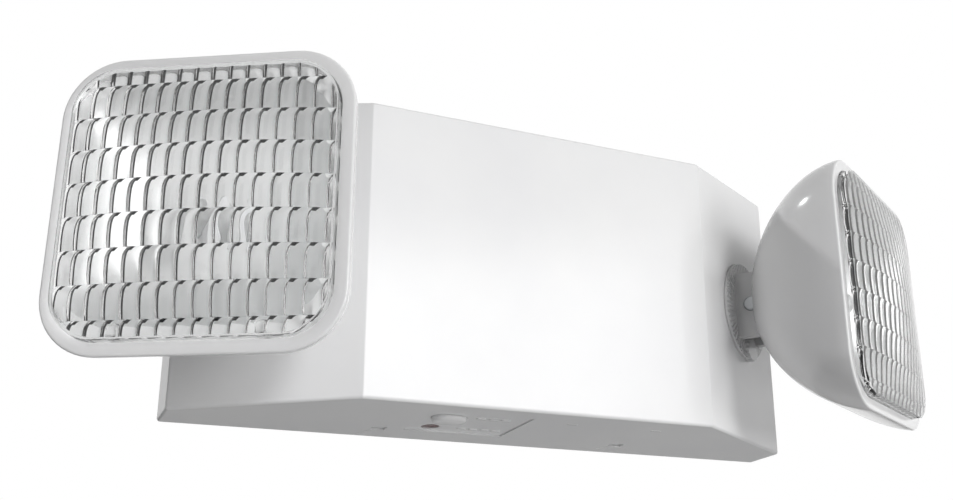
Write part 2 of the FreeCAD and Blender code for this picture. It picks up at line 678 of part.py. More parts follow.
def dome_section(depth, thickness):
    """Outline of the head at a depth behind the rim, moved in by a wall thickness."""
    share = dome_share(depth)
    half = HEAD_HALF * share
    corner = half * (HEAD_CORNER / HEAD_HALF + DOME_CORNER_GAIN * (1 - share))
    rise = -HEAD_DROP + DOME_RISE * depth / DOME_DEPTH
    half_height = HEAD_HALF_HEIGHT * share - thickness
    radius = max(min(corner, half) - thickness, 1.0)
    return rounded_outline(half - thickness, half_height, radius, HEAD_REACH - depth, rise)


def dome_solid(start, end, thickness):
    """Solid between two depths; the sections lie closer together towards the tip."""
    depths = [start + (end - start) * math.sin(index / DOME_SECTIONS * math.pi / 2)
              for index in range(DOME_SECTIONS + 1)]
    return Part.makeLoft([dome_section(depth, thickness) for depth in depths], True, False)


def opening_half(step=0.0):
    """Half sizes and corner radius of the front opening, made smaller by a step."""
    shrink = RIM_BAND + step
    return HEAD_HALF - shrink, HEAD_HALF_HEIGHT - shrink, HEAD_CORNER - shrink


def front_block(step, depth_low, depth_high):
    """A block that fills the front opening between two depths behind the rim."""
    half_x, half_y, radius = opening_half(step)
    return rounded_block(half_x, half_y, radius, HEAD_REACH - depth_high, HEAD_REACH - depth_low, -HEAD_DROP)


def pocket_radius():
    """Reach of the cheeks' far corner from the tilt axis, with clearance."""
    return math.hypot(CHEEK_HALF_HEIGHT, PIVOT_OUT - disc_face()) + POCKET_CLEARANCE


def pocket_front():
    """Front of the pocket's wall inside the head."""
    return PIVOT_OUT + pocket_radius() + POCKET_WALL


def centre_lug():
    """Lug from the pocket's wall to an eye round the tilt pin, between the cheeks."""
    half = CHEEK_OUTER - CHEEK_THICKNESS - LUG_CLEARANCE
    stem = box(centred(0, half), centred(0, LUG_RADIUS), (PIVOT_OUT, pocket_front() - POCKET_WALL / 2))
    return [stem, round_x(LUG_RADIUS, half, PIVOT_OUT)]


def make_head():
    """Deep moulded dome with a slot for the cheeks, closed inside by a round pocket with a centre lug."""
    shell = dome_solid(0.0, DOME_CUT, 0.0)
    seat_back = SEAT_DEPTH + SEAT_THICKNESS
    shell = shell.cut(dome_solid(seat_back, DOME_CUT - 1.5 * HEAD_WALL, HEAD_WALL))
    shell = shell.cut([front_block(0.0, -HEAD_WALL, SEAT_DEPTH),
                       front_block(SEAT_WIDTH, -HEAD_WALL, seat_back + CUT_OVERLAP)])
    slot_half = CHEEK_OUTER + SLOT_CLEARANCE
    inside = dome_solid(seat_back, DOME_CUT, HEAD_WALL / 2)
    pocket = round_x(pocket_radius() + POCKET_WALL, slot_half + POCKET_WALL, PIVOT_OUT).common(inside)
    hollow = round_x(pocket_radius(), slot_half, PIVOT_OUT)
    relief = round_x(PIN_HEAD_RADIUS + POCKET_CLEARANCE, CHEEK_OUTER + 2 * PIN_HEAD_HEIGHT, PIVOT_OUT)
    shell = shell.fuse(pocket).cut([hollow, relief])
    shell = shell.multiFuse(centre_lug())
    low = RIM_BAND - HEAD_DROP - HEAD_HALF_HEIGHT
    notch = box(centred(0, PRY_NOTCH[0] / 2), (low - PRY_NOTCH[1], low + PRY_NOTCH[1]),
                (HEAD_REACH - SEAT_DEPTH, HEAD_REACH + SEAT_DEPTH))
    return shell.cut([round_x(PIN_RADIUS + PIN_CLEARANCE, CHEEK_OUTER, PIVOT_OUT), notch])


# ---- Lens ----------------------------------------------------------------------------------------------
def lens_outline():
    """Half sizes and corner radius of the lens in the front opening."""
    return tuple(size - LENS_CLEARANCE for size in opening_half())


def crown_height(x, y):
    """Height of the lens's crown over its side wall."""
    half_x, half_y, _ = lens_outline()
    return (LENS_CROWN - LENS_WALL_PROUD) * max(0, 1 - (x / half_x) ** 2) * max(0, 1 - (y / half_y) ** 2)


def cell_lines(half, pitch):
    """Boundaries between cells that cover -half to half, one cell being centred on zero."""
    count = math.ceil(half / pitch + 0.5)
    return [(index + 0.5) * pitch for index in range(-count, count)]


def cell_surface(half_x, half_y):
    """Block whose front face is one low pyramid for each cell of the lens."""
    xs = cell_lines(half_x, CELL_WIDTH)
    ys = cell_lines(half_y, CELL_HEIGHT)

    def point(x, y, relief=0.0):
        height = LENS_WALL_PROUD - LENS_THICKNESS + crown_height(x, y)
        return Vector(x, y - HEAD_DROP, HEAD_REACH + height - relief)

    def face(corners):
        return Part.Face(Part.makePolygon(corners + [corners[0]]))

    faces = []
    for x_low, x_high in zip(xs, xs[1:]):
        for y_low, y_high in zip(ys, ys[1:]):
            ring = [point(x_low, y_low), point(x_high, y_low), point(x_high, y_high), point(x_low, y_high)]
            peak = point((x_low + x_high) / 2, (y_low + y_high) / 2, CELL_RELIEF)
            faces += [face([ring[index - 1], ring[index], peak]) for index in range(4)]
    back = HEAD_REACH - 2 * SEAT_DEPTH
    sides = [[point(x, ys[0]) for x in xs], [point(xs[-1], y) for y in ys],
             [point(x, ys[-1]) for x in reversed(xs)], [point(xs[0], y) for y in reversed(ys)]]
    floor = [Vector(line[0].x, line[0].y, back) for line in sides]
    for index, line in enumerate(sides):
        faces.append(face(line + [floor[(index + 1) % 4], floor[index]]))
    faces.append(face(floor))
    shell = Part.makeShell(faces)
    shell.sewShape()
    return Part.makeSolid(shell)


def lens_crown():
    """Smooth domed front of the lens, from its side wall up."""
    half_x, half_y, radius = lens_outline()
    wires = []
    for index in range(CROWN_SECTIONS + 1):
        share = 1 - index / CROWN_SECTIONS * (1 - CROWN_TOP)
        height = LENS_WALL_PROUD + (LENS_CROWN - LENS_WALL_PROUD) * (1 - share ** 2)
        wires.append(rounded_outline(half_x * share, half_y * share, radius * (1 + share) / 2 * share,
                                     HEAD_REACH + height, -HEAD_DROP))
    return Part.makeLoft(wires, True, False)


def make_lens():
    """Clear cover: smooth crown outside, prism cells inside, standing wall and two snap tabs."""
    half_x, half_y, radius = lens_outline()
    seat = reflector_seat() + REFLECTOR_THICKNESS
    body = rounded_block(half_x, half_y, radius, seat, HEAD_REACH + LENS_WALL_PROUD, -HEAD_DROP)
    body = body.fuse(lens_crown())
    inner_x, inner_y, inner_radius = (size - LENS_THICKNESS for size in lens_outline())
    well = rounded_block(inner_x, inner_y, inner_radius, HEAD_REACH - 2 * SEAT_DEPTH,
                         HEAD_REACH + LENS_CROWN, -HEAD_DROP)
    lens = body.cut(well.common(cell_surface(inner_x, inner_y)))
    breadth, height, length = LENS_TAB
    low = LENS_THICKNESS / 2 - HEAD_DROP - half_y
    tabs = [box(centred(x, breadth / 2), (low, low + LENS_THICKNESS / 2 + height), (seat, seat + length))
            for x in (-LENS_TAB_X, LENS_TAB_X)]
    return lens.multiFuse(tabs)


# ---- Reflector and lamp --------------------------------------------------------------------------------
def reflector_seat():
    """Back of the dish's flange, on the head's lens seat."""
    return HEAD_REACH - SEAT_DEPTH


def holder_base():
    """Back of the lamp holder, just clear of the pocket."""
    return pocket_front() + HOLDER_GAP


def dish_floor():
    return holder_base() + HOLDER_LENGTH


def reflector_section(share, thickness):
    """Outline of the dish where it has this share of its mouth, from the floor (0) to the mouth (1)."""
    half = REFLECTOR_FLOOR + (REFLECTOR_MOUTH - REFLECTOR_FLOOR) * share - thickness
    height = dish_floor() + (reflector_seat() - dish_floor()) * share ** 2
    if share < 1:
        height += thickness
    roundness = DISH_FLOOR_ROUNDNESS + (DISH_MOUTH_ROUNDNESS - DISH_FLOOR_ROUNDNESS) * share
    return rounded_outline(half, half * HEAD_HALF_HEIGHT / HEAD_HALF, half * roundness, height, -HEAD_DROP)


def reflector_form(thickness):
    """Bowl of the dish: its sections are round at the floor and squarer at the mouth."""
    wires = [reflector_section(index / DISH_SECTIONS, thickness) for index in range(DISH_SECTIONS + 1)]
    return Part.makeLoft(wires, True, False)


def make_reflector():
    """Thin dish with a flange that the lens clamps on its seat, and a round hole for the lamp."""
    seat = reflector_seat()
    flange = rounded_block(*lens_outline(), seat, seat + REFLECTOR_THICKNESS, -HEAD_DROP)
    mouth = Part.Face(reflector_section(1, REFLECTOR_THICKNESS)).extrude(Z_AXIS * 2 * REFLECTOR_THICKNESS)
    hole = upright(LAMP_HOLE_RADIUS, (0, -HEAD_DROP), holder_base(), seat)
    return reflector_form(0.0).fuse(flange).cut([reflector_form(REFLECTOR_THICKNESS), mouth, hole])


def lamp_base():
    return dish_floor() + HOLDER_LIP - LAMP_BASE_DEPTH


def make_lamp_holder():
    """Round socket behind the dish, its flange against the dish's floor."""
    middle = (0, -HEAD_DROP)
    socket = upright(HOLDER_RADIUS, middle, holder_base(), dish_floor() + HOLDER_LIP)
    flange = upright(HOLDER_FLANGE_RADIUS, middle, dish_floor() - HOLDER_FLANGE, dish_floor())
    well = upright(LAMP_RADIUS + LAMP_CLEARANCE, middle, lamp_base(), dish_floor() + 2 * HOLDER_LIP)
    return socket.fuse(flange).cut(well)


def make_lamp():
    """Small sealed bulb standing in the socket."""
    tip_z = lamp_base() + LAMP_LENGTH - LAMP_RADIUS
    tip = Part.makeSphere(LAMP_RADIUS, Vector(0, -HEAD_DROP, tip_z))
    return upright(LAMP_RADIUS, (0, -HEAD_DROP), lamp_base(), tip_z).fuse(tip)


# ---- Build ---------------------------------------------------------------------------------------------
ROOT_NODES = {
    "housing": make_housing,
    "back_plate": make_back_plate,
    "test_button": make_test_button,
    "test_switch": make_test_switch,
    "charge_indicator": make_indicator,
    "circuit_board": make_circuit_board,
    "board_screws": make_board_screws,
    "battery_pack": make_battery,
    "battery_strap_left": lambda: make_strap(-STRAP_X),
    "battery_strap_right": lambda: make_strap(STRAP_X),
    "transformer_core": make_transformer_core,
    "transformer_coil": make_transformer_coil,
}
HEAD_NODES = {
    "swivel_collar": make_collar,
    "swivel_nut": make_swivel_nut,
    "tilt_pin": make_tilt_pin,
    "lamp_head": make_head,
    "lens": make_lens,
    "reflector": make_reflector,
    "lamp_holder": make_lamp_holder,
    "lamp": make_lamp,
}

for name, make in ROOT_NODES.items():
    save(name, make())
for name, make in HEAD_NODES.items():
    shape = make()
    for side_name, side in SIDES.items():
        placed = shape.copy()
        placed.Placement = seat_frame(side)
        save(side_name + "_" + name, placed)
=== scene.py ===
import json
import math

import bmesh
import bpy
from mathutils import Matrix, Vector


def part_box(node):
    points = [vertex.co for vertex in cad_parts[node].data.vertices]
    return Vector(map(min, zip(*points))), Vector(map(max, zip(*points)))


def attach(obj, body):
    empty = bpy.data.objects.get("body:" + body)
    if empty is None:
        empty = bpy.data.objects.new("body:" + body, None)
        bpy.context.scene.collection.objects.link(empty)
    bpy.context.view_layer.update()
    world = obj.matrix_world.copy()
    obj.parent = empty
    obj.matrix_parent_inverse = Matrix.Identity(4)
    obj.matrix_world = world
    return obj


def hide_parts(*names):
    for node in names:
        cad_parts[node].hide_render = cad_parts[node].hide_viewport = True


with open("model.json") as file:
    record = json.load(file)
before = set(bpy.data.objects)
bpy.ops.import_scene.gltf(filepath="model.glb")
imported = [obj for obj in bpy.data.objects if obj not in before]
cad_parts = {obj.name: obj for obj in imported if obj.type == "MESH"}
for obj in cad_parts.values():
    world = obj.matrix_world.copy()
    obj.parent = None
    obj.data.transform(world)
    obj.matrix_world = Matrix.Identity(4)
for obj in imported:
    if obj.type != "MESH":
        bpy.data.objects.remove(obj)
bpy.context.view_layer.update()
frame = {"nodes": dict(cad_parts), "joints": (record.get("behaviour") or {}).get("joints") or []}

MM = 0.001
BODIES = {"left": "left_head", "right": "right_head"}
QUARTER_TURN = math.pi / 2

# ---- Sizes of a lamp head --------------------------------------------------------------------------------
# In mm from the swivel axis on the slanted face: x along the face, y up, z straight out.
HEAD_HALF = 47.0
HEAD_HALF_HEIGHT = 47.9
HEAD_CORNER = 19.4
HEAD_REACH = 55.8               # face of the rim
HEAD_DROP = 2.8                 # the rim's middle lies this far below the swivel axis
HEAD_STEPS = 14                 # points on each corner and on each side of an outline
RIM_BAND = 4.4
RIM_ROUNDING = 0.7
RIM_ROUNDING_STEPS = 4
RIM_FLAT_START = 1.4 * RIM_ROUNDING
LIP_PROFILE = ((-0.5, 0.0), (-0.15, 0.12), (0.0, 0.5))   # rounded lip of the opening: step inwards, depth

DOME_DEPTH = 50.0
DOME_POWER = 1.7                # 2 would be an ellipse
DOME_CORNER_GAIN = 0.35         # how much rounder the corners get towards the back
DOME_CORNER_LEAST = 0.5
DOME_RISE = 3.4                 # the back of the dome lies this much higher than the rim's middle
DOME_CUT = 47.0
DOME_STEPS = 40
HOLLOW_PROFILE = ((6.0, 2.0), (14.0, 2.5), (22.0, 3.0), (28.0, 6.0), (30.0, 14.0))   # depth, wall

SEAT_DEPTH = 2.5                # step in the opening that the reflector's flange lies on
SEAT_WIDTH = 2.2
SEAT_THICKNESS = 2.0

PIVOT_OUT = 7.5                 # height of the tilt axis
SLOT_HALF = 11.0                # pocket in the dome for the swivel's two cheeks
POCKET_RADIUS = 15.5
PIN_RELIEF_RADIUS = 3.6         # hollow beside the pocket for the rivet's heads
PIN_RELIEF_DEPTH = 1.9
CUTTER_STEPS = 64
LUG_HALF = 6.8
LUG_RADIUS = 4.6
LUG_OVERLAP = 1.0               # how far the lug is sunk in the pocket's floor
LUG_STEPS = 16

# ---- Sizes of a lens -------------------------------------------------------------------------------------
LENS_CLEARANCE = 0.3
LENS_WALL = 0.9
LENS_PROUD = 3.0                # edge of the lens over the rim
LENS_CROWN = 7.5                # middle of the lens over the rim
LENS_STEPS = 40
LENS_CORNER_STEPS = 12
LENS_OVERSHOOT = 0.5            # the sheet is made this much too wide and then cut to its outline
TAB_X = 22.3
TAB_BREADTH = 3.2
TAB_HEIGHT = 4.0
TAB_LENGTH = 3.0
TAB_BEVEL = 0.3
TAB_GAP = 0.1

# Pillow cells inside the lens. A cell's surface is sampled close together at its edges, where the groove
# turns. The samples are shares of its width and of its height.
CELL_WIDTH = 5.4
CELL_HEIGHT = 10.7
CELL_FLOOR = 0.55               # thickness at the grooves, behind the outer wall
CELL_BULGE = 0.95
CELL_SQUARENESS = 0.6           # 1 would be a round pillow across the cell
CELL_END_FADE = 0.28            # share of the bulge that is lost towards the cell's top and bottom
CELL_TILT = 0.25                # how much thicker a cell is at its foot
ACROSS = (0.0, 0.04, 0.08, 0.13, 0.2, 0.32, 0.46, 0.6, 0.73, 0.85, 0.94)
UPWARD = (0.0, 0.04, 0.1, 0.17, 0.24, 0.3, 0.36, 0.42, 0.48, 0.54,
          0.6, 0.66, 0.72, 0.78, 0.84, 0.89, 0.93, 0.96, 0.99)

# Lean of a cell's upright edges, and breadth of the near-black painted shade along its grooves, as shares of
# the cell's width. The grooves' shape is real; their darkness is painted.
HOOK_LEAN = 0.42
HOOK_LENGTH = 0.1
BOW_LEAN = 0.16
BOW_MIDDLE = 0.45
FOOT_LEAN = -0.05
HOOK_START = 0.86
# Breadths of the faces painted near-black as shade: at the hook, and along the rest of the groove.
HOOK_SHADE = 0.16
GROOVE_SHADE = 0.1
GROOVE_MARGIN = 0.02
RIGHT_BREADTH = 2.6             # the right lens's painted shade along the grooves is this many times as broad
LEFT_BREADTH = 0.75             # the same in the middle of the left lens, and how it changes
LEFT_BREADTH_ACROSS = -0.62     # to the right edge
LEFT_BREADTH_UPWARD = 0.3       # and to the top edge

# ---- Sizes of a reflector and its lamp -------------------------------------------------------------------
DISH_FLOOR = 32.25
DISH_MOUTH_HALF = 39.0
DISH_FLOOR_HALF = 13.0
DISH_FLOOR_ROUNDNESS = 0.95     # corner radius as a share of the half size
DISH_MOUTH_ROUNDNESS = 0.35
DISH_THICKNESS = 0.8
DISH_STEPS = 24
DISH_BACK_STEPS = 8
DISH_CLEARANCE = 0.04
THROAT_CLEARANCE = 0.1
LAMP_HOLE_RADIUS = 8.6
LAMP_RADIUS = 4.8
LAMP_LENGTH = 15.0
LAMP_BASE = 30.75
LAMP_CLEARANCE = 0.1
LAMP_NIPPLE_RADIUS = 0.2
LAMP_TIP_STEPS = 8
LAMP_STEPS = 48

# ---- Sizes of the housing's underside --------------------------------------------------------------------
# In mm: its slope per unit of depth, the panel's recess, and the rows of raised bars on the panel, each as
# its place along Y, its ends along X and its number of bars.
DRAFT = 0.077
PANEL_RECESS = 0.6
BAR_BREADTH = 1.7
BAR_HEIGHT = 0.4
BAR_SUNK = 0.1
BAR_GAP = 1.1
BAR_EDGE = ((0.0, 0.15), (0.05, 0.05), (0.15, 0.0))      # inset, and depth below the bar's top
BAR_END_FLAT = 0.05             # half the flat that is left on a bar's round end
BAR_STEPS = (6, 3)              # points on each corner and on each side
BAR_ROWS = ((-35.8, -20.8, -7.2, 3), (-19.5, -21.6, -4.0, 4))

BUTTON_CENTRE = (-30.5, -33.5)
BUTTON_LENGTH = 13.0
BUTTON_BREADTH = 8.6
BUTTON_PROUD = 1.5
BUTTON_FLANGE = 1.3
BUTTON_FLANGE_THICKNESS = 1.2
BUTTON_ROUNDING = 0.8
BUTTON_ROUNDING_STEPS = 8
BUTTON_CROWN = 0.25             # share of the cap's height that its crowned top adds
BUTTON_CROWN_INSETS = (0.7, 1.5, 2.6)
BUTTON_END_FLAT = 0.02
BUTTON_STEPS = (10, 6)
CAD_BUTTON_PROUD = 3.0
STEM_RADIUS = 1.5
WALL_DEPTH = 2.9                # from the housing's underside to the button's flange

# ---- Patterns in the materials: the width of one wave or patch, in mm ------------------------------------
PLASTIC_DRIFT = 500 / 9
ORANGE_PEEL = 10 / 9
FLOW_MARKS = 50 / 13
GROOVE_DRIFT = 50 / 21
GLASS_WAVES = 6.25
DISH_WAVES = 100 / 7
ROLLING_MARKS = 5 / 6

# ---- Edges, in degrees: a sharper turn than this is drawn as an edge -------------------------------------
FINE_EDGE = 30.0
MOULDED_EDGE = 40.0
LENS_EDGE = 25.0

# ---- Studio, in metres -----------------------------------------------------------------------------------
FLOOR_LEVEL = -0.62
FLOOR_HALF = 6.0
CARDS = {
    "card_over_camera": ((-1.2, -2.2, 0.45), (0.35, -2.2, 0.45), (0.35, -1.7, 1.5), (-1.2, -1.7, 1.5)),
    "card_at_right": ((1.8, -1.6, 0.1), (1.8, 0.9, 0.1), (2.0, 0.9, 1.6), (2.0, -1.6, 1.6)),
}
# Square lamps, each as its place, its side, its power in watts and the rays that it is hidden from.
SOFT_LAMPS = {
    "key": ((0.85, -2.05, 0.25), 0.9, 17, ("transmission",)),
    "fill_above_front": ((0.1, -2.1, 0.5), 0.5, 16, ("glossy", "transmission")),
    "fill_below": ((0.35, 0.4, -0.55), 0.6, 2.2, ("glossy", "transmission")),
}
EDGE_LAMP_PLACE = (-0.86, 0.55, 0.69)
EDGE_LAMP_TARGET = (0.15, -0.06, 0)
EDGE_LAMP_CONE = math.radians(11)
EDGE_LAMP_BLEND = 0.3
EDGE_LAMP_RADIUS = 0.03
EDGE_LAMP_POWER = 15
WORLD_FILL = 0.09
CAMERA_AZIMUTH = math.radians(-23.83)
CAMERA_ELEVATION = math.radians(-18.12)
CAMERA_ROLL = math.radians(0.30)
CAMERA_PLACE = (-180.4, -396.3, -119.7)      # in mm
CAMERA_LENS = 41.65
CAMERA_SENSOR = 36.0


# ---- Frames and mesh helpers -----------------------------------------------------------------------------
def matrix_from(along, across, out, place):
    """Frame with its x, y and z directions and its origin."""
    rows = [[along[i], across[i], out[i], place[i]] for i in range(3)]
    return Matrix(rows + [[0, 0, 0, 1]])


def seat_matrix(side):
    """Local frame of a lamp head: its origin on the slanted face, its z straight out."""
    swivel = next(entry for entry in frame["joints"] if entry["name"] == side + "_swivel_turn")
    out = Vector(swivel["axis"]).normalized()
    up = Vector((0, 0, 1))
    return matrix_from(up.cross(out), up, out, swivel["pos_m"])


def link_object(name, bm, material):
    """Turns a mesh into an object in the scene and frees it."""
    mesh = bpy.data.meshes.new(name)
    bm.to_mesh(mesh)
    bm.free()
    mesh.materials.append(material)
    obj = bpy.data.objects.new(name, mesh)
    bpy.context.scene.collection.objects.link(obj)
    return obj


def make_object(name, bm, material, matrix, edge_angle):
    """Turns a mesh in millimetres into a smooth object in metres, in the shared frame."""
    bmesh.ops.transform(bm, matrix=matrix @ Matrix.Scale(MM, 4), verts=bm.verts)
    bmesh.ops.recalc_face_normals(bm, faces=bm.faces)
    obj = link_object(name, bm, material)
    for polygon in obj.data.polygons:
        polygon.use_smooth = True
    obj.data.set_sharp_from_angle(angle=math.radians(edge_angle))
    return obj


def rounded_ring(half_x, half_y, radius, z, rise, steps, straight):
    """Points of a rounded rectangle, evenly shared over its four sides and corners."""
    points = []
    corners = ((1, 1), (-1, 1), (-1, -1), (1, -1))
    for index, (side_x, side_y) in enumerate(corners):
        middle = Vector((side_x * (half_x - radius), side_y * (half_y - radius) + rise, z))
        for step in range(steps):
            turn = (index + step / steps) * QUARTER_TURN
            points.append(middle + Vector((math.cos(turn), math.sin(turn), 0)) * radius)
        turn = (index + 1) * QUARTER_TURN
        outward = Vector((math.cos(turn), math.sin(turn), 0)) * radius
        next_x, next_y = corners[(index + 1) % 4]
        end = Vector((next_x * (half_x - radius), next_y * (half_y - radius) + rise, z)) + outward
        points += [(middle + outward).lerp(end, step / straight) for step in range(straight)]
    return points


def head_ring(half_x, half_y, radius, z):
    """Rounded rectangle about the rim's middle."""
    return rounded_ring(half_x, half_y, radius, z, -HEAD_DROP, HEAD_STEPS, HEAD_STEPS)


def skin_rings(bm, rings, closed=True):
    """Joins rings of equal point count into a tube, with end faces where it is closed."""
    loops = [[bm.verts.new(point) for point in ring] for ring in rings]
    count = len(loops[0])
    for lower, upper in zip(loops, loops[1:]):
        for index in range(count):
            after = (index + 1) % count
            bm.faces.new((lower[index], lower[after], upper[after], upper[index]))
    if closed:
        bm.faces.new(loops[0][::-1])
        bm.faces.new(loops[-1])


def sheet_from_rows(bm, rows, slots=None):
    """Joins rows of points into a sheet; slots gives the material slot of each face."""
    grid = [[bm.verts.new(point) for point in row] for row in rows]
    for row, (lower, upper) in enumerate(zip(grid, grid[1:])):
        for column in range(len(lower) - 1):
            face = bm.faces.new((lower[column], lower[column + 1], upper[column + 1], upper[column]))
            if slots:
                face.material_index = slots(row, column)


def add_mesh(bm, other):
    """Adds another mesh to bm and frees it."""
    holder = bpy.data.meshes.new("holder")
    other.to_mesh(holder)
    other.free()
    bm.from_mesh(holder)
    bpy.data.meshes.remove(holder)


def bevelled_block(middle, size, bevel):
    """A block with rounded edges."""
    bm = bmesh.new()
    bmesh.ops.create_cube(bm, size=1.0, matrix=Matrix.Translation(middle) @ Matrix.Diagonal((*size, 1)))
    bmesh.ops.bevel(bm, geom=bm.edges[:], offset=bevel, segments=3, profile=0.5, affect="EDGES")
    return bm


def cut_with(obj, cutter):
    """Takes a closed mesh away from obj and applies it."""
    modifier = obj.modifiers.new("cut", "BOOLEAN")
    modifier.operation = "DIFFERENCE"
    modifier.solver = "EXACT"
    modifier.object = cutter
    graph = bpy.context.evaluated_depsgraph_get()
    mesh = bpy.data.meshes.new_from_object(obj.evaluated_get(graph))
    obj.modifiers.clear()
    obj.data = mesh
    bpy.data.objects.remove(cutter)


# ---- Materials -------------------------------------------------------------------------------------------
def colour(hex_text):
    """sRGB hex to a linear colour."""
    values = [int(hex_text[index:index + 2], 16) / 255 for index in (1, 3, 5)]
    return (*(v / 12.92 if v <= 0.04045 else ((v + 0.055) / 1.055) ** 2.4 for v in values), 1.0)


def add_node(tree, kind, settings=None, links=None, **values):
    """Adds a node, sets its properties and input values, and links its inputs."""
    node = tree.nodes.new(kind)
    for key, value in (settings or {}).items():
        setattr(node, key, value)
    for key, value in values.items():
        node.inputs[key.replace("_", " ")].default_value = value
    for key, socket in (links or {}).items():
        tree.links.new(socket, node.inputs[key])
    return node


def new_material(name):
    material = bpy.data.materials.new(name)
    material.use_nodes = True
    material.node_tree.nodes.clear()
    return material, material.node_tree


def uneven_surface(tree, size, depth, strength, detail=2.0):
    """Normal of a surface with shallow waves; size is their width and depth their height, in mm."""
    place = add_node(tree, "ShaderNodeTexCoord")
    waves = add_node(tree, "ShaderNodeTexNoise", links={"Vector": place.outputs["Object"]},
                     Scale=1 / (size * MM), Detail=detail)
    bump = add_node(tree, "ShaderNodeBump", links={"Height": waves.outputs["Fac"]},
                    Strength=strength, Distance=depth * MM)
    return bump.outputs["Normal"]


def drifting_colour(tree, light, dark, size, start, detail):
    """Colour that drifts between two tones over size, in mm; up to start of the noise it stays dark."""
    place = add_node(tree, "ShaderNodeTexCoord")
    drift = add_node(tree, "ShaderNodeTexNoise", links={"Vector": place.outputs["Object"]},
                     Scale=1 / (size * MM), Detail=detail)
    ramp = add_node(tree, "ShaderNodeValToRGB", links={"Fac": drift.outputs["Fac"]})
    for element, position, tone in zip(ramp.color_ramp.elements, (start, 1 - start), (dark, light)):
        element.position = position
        element.color = colour(tone)
    return ramp.outputs["Color"]


def moulded_plastic(name, light, dark, roughness, specular=0.5):
    """Injection-moulded plastic: an even satin skin with a faint orange peel and slow colour drift."""
    material, tree = new_material(name)
    shader = add_node(tree, "ShaderNodeBsdfPrincipled", Roughness=roughness, IOR=1.54,
                      Specular_IOR_Level=specular,
                      links={"Base Color": drifting_colour(tree, light, dark, PLASTIC_DRIFT, 0.35, 3.0),
                             "Normal": uneven_surface(tree, ORANGE_PEEL, 0.1, 0.04)})
    add_node(tree, "ShaderNodeOutputMaterial", links={"Surface": shader.outputs["BSDF"]})
    return material


def clear_polycarbonate():
    """Injection-moulded polycarbonate: clear and glossy, with tiny flow marks that make it sparkle."""
    material, tree = new_material("clear polycarbonate")
    shader = add_node(tree, "ShaderNodeBsdfPrincipled", Base_Color=colour("#FDFDFD"), Roughness=0.02,
                      IOR=1.585, Specular_IOR_Level=0.15, Transmission_Weight=1.0,
                      links={"Normal": uneven_surface(tree, FLOW_MARKS, 0.1, 0.05)})
    add_node(tree, "ShaderNodeOutputMaterial", links={"Surface": shader.outputs["BSDF"]})
    return material


def painted_shade_prism_wall():
    """Steep polycarbonate walls between the cells, painted near-black as shade: the colour stands in for the
    light they turn away, so they read as fine dark lines.
    """
    material, tree = new_material("prism wall painted shade")
    # Opaque near-black tones drifting a little: painted shade, not the clear plastic's own colour.
    shader = add_node(tree, "ShaderNodeBsdfPrincipled", Roughness=0.5, IOR=1.585, Specular_IOR_Level=0.1,
                      links={"Base Color": drifting_colour(tree, "#1E1F21", "#060607", GROOVE_DRIFT,
                                                           0.4, 2.0)})
    add_node(tree, "ShaderNodeOutputMaterial", links={"Surface": shader.outputs["BSDF"]})
    return material


def bulb_glass():
    """Frosted soda-lime glass: milky and slightly wavy, so the dish behind it shows only softly."""
    material, tree = new_material("frosted soda lime glass")
    shader = add_node(tree, "ShaderNodeBsdfPrincipled", Base_Color=colour("#F6F7F7"), Roughness=0.5,
                      IOR=1.52, Transmission_Weight=0.6,
                      links={"Normal": uneven_surface(tree, GLASS_WAVES, 0.1, 0.03)})
    add_node(tree, "ShaderNodeOutputMaterial", links={"Surface": shader.outputs["BSDF"]})
    return material


def bare_metal(name, tone, roughness, relief):
    """Metal skin whose colour is its shine; relief is its waves' width and depth, strength and detail."""
    material, tree = new_material(name)
    shader = add_node(tree, "ShaderNodeBsdfPrincipled", Base_Color=colour(tone), Metallic=1.0,
                      Roughness=roughness, links={"Normal": uneven_surface(tree, *relief)})
    add_node(tree, "ShaderNodeOutputMaterial", links={"Surface": shader.outputs["BSDF"]})
    return material


# Moulded from a polished tool: clean white with a soft, wide sheen.
WHITE_ABS = moulded_plastic("white moulded ABS", "#F4F4F4", "#F0F0F1", 0.17, 0.3)
# Moulded in a brighter tool: white, with a small sharp highlight on the dome.
HEAD_ABS = moulded_plastic("head moulded ABS", "#F0F0F0", "#ECECED", 0.15)
# Moulded with fine teeth: a touch greyer, so the serrations show.
SWIVEL_ABS = moulded_plastic("swivel moulded ABS", "#E4E4E4", "#DADADB", 0.2)
# Moulded nylon, dyed black: dull and dark inside the housing.
DARK_ABS = moulded_plastic("black moulded nylon", "#26272A", "#1D1E20", 0.5)
# Moulded battery case: dull blue grey.
BATTERY_ABS = moulded_plastic("battery case ABS", "#3A3F48", "#31353D", 0.45)
# Lacquer, printed and baked on fibreglass: even green with a low shine.
BOARD_MASK = moulded_plastic("green solder mask", "#1F6B3A", "#195A30", 0.3)
# Wound polyester tape: warm yellow with a low shine.
TAPE = moulded_plastic("winding tape", "#D9B84A", "#C9A63C", 0.4)
# Stamped steel sheets under lacquer: dull dark grey.
LAMINATION = moulded_plastic("lacquered lamination steel", "#5B5D60", "#4A4C4F", 0.4)
# Moulded nylon, undyed: pale grey and dull behind the lens.
HOLDER = moulded_plastic("lamp holder nylon", "#E8E9EA", "#E0E1E2", 0.4)
# Moulded acrylic, tinted through: deep red with a wet shine.
RED_PIPE = moulded_plastic("dark red acrylic", "#6B2026", "#571A20", 0.15)
CLEAR_PC = clear_polycarbonate()
# Groove faces of the lenses: clear walls painted near-black, painted shade.
PAINTED_SHADE_PC = painted_shade_prism_wall()
LAMP_GLASS = bulb_glass()
# Aluminium film, vacuum-coated on a slightly wavy moulding: bright, with soft patches of what it mirrors.
METALLISED = bare_metal("vacuum metallised ABS", "#F4F5F5", 0.38, (DISH_WAVES, 0.4, 0.1, 2.0))
# Rolled steel with electroplated zinc: mid grey with fine rolling marks.
ZINC = bare_metal("zinc plated steel", "#A9ABAD", 0.42, (ROLLING_MARKS, 0.1, 0.08, 3.0))


